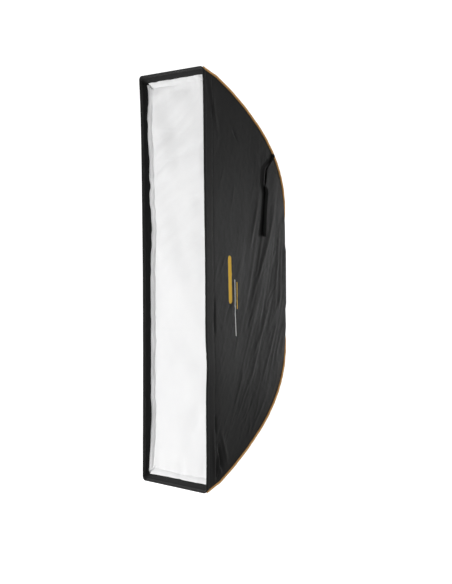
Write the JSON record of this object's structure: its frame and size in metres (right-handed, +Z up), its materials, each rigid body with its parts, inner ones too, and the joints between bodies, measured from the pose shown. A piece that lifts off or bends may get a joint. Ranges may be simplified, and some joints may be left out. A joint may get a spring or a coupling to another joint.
{
  "type": "studio softbox",
  "caption": "Deep narrow studio softbox: black fabric box on hinged spring rods, swivelling speed ring, recessed white front diffuser, inner baffle and orange piping.",
  "frame": {"origin": "centre of the bayonet insert's seat, the face that meets the flash", "axes": "+Z up along the long side, -Y out of the front of the box, +X across the narrow side"},
  "size_m": [0.3612, 0.5383, 1.5232],
  "materials": {
    "black_fabric": "woven black nylon, silver-coated inside",
    "black_tape": "black webbing, hook-and-loop tape and elastic",
    "white_fabric": "translucent white nylon",
    "orange_piping": "woven piping cord",
    "spring_steel": "drawn spring steel",
    "black_metal": "satin black powder coat",
    "aluminium": "machined and clear anodised",
    "black_plastic": "moulded black nylon",
    "rubber": "matt black"
  },
  "bodies": {
    "insert": {"bayonet_insert": "aluminium"},
    "ring": {"ring_body": "black_metal", "retaining_ring": "black_metal", "rod_bracket_upper_right": "black_metal", "bracket_screw_upper_right": "black_metal", "hinge_pin_upper_right": "spring_steel", "lever_pin_upper_right": "spring_steel", "lever_spring_upper_right": "spring_steel", "seam_piping_upper_right": "orange_piping", "baffle_tab_upper_right": "black_tape", "rod_bracket_upper_left": "black_metal", "bracket_screw_upper_left": "black_metal", "hinge_pin_upper_left": "spring_steel", "lever_pin_upper_left": "spring_steel", "lever_spring_upper_left": "spring_steel", "seam_piping_upper_left": "orange_piping", "baffle_tab_upper_left": "black_tape", "rod_bracket_lower_right": "black_metal", "bracket_screw_lower_right": "black_metal", "hinge_pin_lower_right": "spring_steel", "lever_pin_lower_right": "spring_steel", "lever_spring_lower_right": "spring_steel", "seam_piping_lower_right": "orange_piping", "baffle_tab_lower_right": "black_tape", "rod_bracket_lower_left": "black_metal", "bracket_screw_lower_left": "black_metal", "hinge_pin_lower_left": "spring_steel", "lever_pin_lower_left": "spring_steel", "lever_spring_lower_left": "spring_steel", "seam_piping_lower_left": "orange_piping", "baffle_tab_lower_left": "black_tape", "side_panel_right": "black_fabric", "side_panel_left": "black_fabric", "top_panel": "black_fabric", "bottom_panel": "black_fabric", "front_hem": "black_tape", "rear_hem": "black_tape", "tie_strap": "black_tape", "lip_loop_tape": "black_tape", "inner_baffle": "white_fabric", "front_diffuser": "white_fabric", "diffuser_border": "black_tape"},
    "rod_upper_right": {"rod_holder_upper_right": "black_plastic", "spring_rod_upper_right": "spring_steel", "rod_tip_upper_right": "rubber"},
    "rod_upper_left": {"rod_holder_upper_left": "black_plastic", "spring_rod_upper_left": "spring_steel", "rod_tip_upper_left": "rubber"},
    "rod_lower_right": {"rod_holder_lower_right": "black_plastic", "spring_rod_lower_right": "spring_steel", "rod_tip_lower_right": "rubber"},
    "rod_lower_left": {"rod_holder_lower_left": "black_plastic", "spring_rod_lower_left": "spring_steel", "rod_tip_lower_left": "rubber"},
    "lever_upper_right": {"lock_lever_upper_right": "black_plastic"},
    "lever_upper_left": {"lock_lever_upper_left": "black_plastic"},
    "lever_lower_right": {"lock_lever_lower_right": "black_plastic"},
    "lever_lower_left": {"lock_lever_lower_left": "black_plastic"},
    "knob": {"swivel_knob": "black_plastic"}
  },
  "joints": [
    {"name": "ring_swivel", "type": "hinge", "parent": "insert", "child": "ring", "pos_m": [0, 0, 0], "axis": [0, 1, 0], "continuous": true},
    {"name": "rod_fold_upper_right", "type": "hinge", "parent": "ring", "child": "rod_upper_right", "pos_m": [0.04349, -0.0142, 0.088], "axis": [1, 0, 0], "range_deg": [0, 52], "deforming": ["front_diffuser", "inner_baffle", "baffle_tab_upper_right", "baffle_tab_upper_left", "baffle_tab_lower_right", "baffle_tab_lower_left"]},
    {"name": "rod_fold_upper_left", "type": "hinge", "parent": "ring", "child": "rod_upper_left", "pos_m": [-0.04349, -0.0142, 0.088], "axis": [1, 0, 0], "range_deg": [0, 52]},
    {"name": "rod_fold_lower_right", "type": "hinge", "parent": "ring", "child": "rod_lower_right", "pos_m": [0.04349, -0.0142, -0.088], "axis": [-1, 0, 0], "range_deg": [0, 52]},
    {"name": "rod_fold_lower_left", "type": "hinge", "parent": "ring", "child": "rod_lower_left", "pos_m": [-0.04349, -0.0142, -0.088], "axis": [-1, 0, 0], "range_deg": [0, 52]},
    {"name": "lock_release_upper_right", "type": "hinge", "parent": "ring", "child": "lever_upper_right", "pos_m": [0.04349, 0.0012, 0.0795], "axis": [-1, 0, 0], "range_deg": [0, 12], "stiffness_Nm_per_rad": 0.05, "springref_deg": -22.92},
    {"name": "lock_release_upper_left", "type": "hinge", "parent": "ring", "child": "lever_upper_left", "pos_m": [-0.04349, 0.0012, 0.0795], "axis": [-1, 0, 0], "range_deg": [0, 12], "stiffness_Nm_per_rad": 0.05, "springref_deg": -22.92},
    {"name": "lock_release_lower_right", "type": "hinge", "parent": "ring", "child": "lever_lower_right", "pos_m": [0.04349, 0.0012, -0.0795], "axis": [1, 0, 0], "range_deg": [0, 12], "stiffness_Nm_per_rad": 0.05, "springref_deg": -22.92},
    {"name": "lock_release_lower_left", "type": "hinge", "parent": "ring", "child": "lever_lower_left", "pos_m": [-0.04349, 0.0012, -0.0795], "axis": [1, 0, 0], "range_deg": [0, 12], "stiffness_Nm_per_rad": 0.05, "springref_deg": -22.92},
    {"name": "knob_turn", "type": "hinge", "parent": "ring", "child": "knob", "pos_m": [-0.064, 0, 0], "axis": [0, 1, 0], "continuous": true}
  ],
  "couplings": [
    {"joint": "rod_fold_upper_left", "follows": "rod_fold_upper_right", "ratio": 1},
    {"joint": "rod_fold_lower_right", "follows": "rod_fold_upper_right", "ratio": 1},
    {"joint": "rod_fold_lower_left", "follows": "rod_fold_upper_right", "ratio": 1}
  ]
}
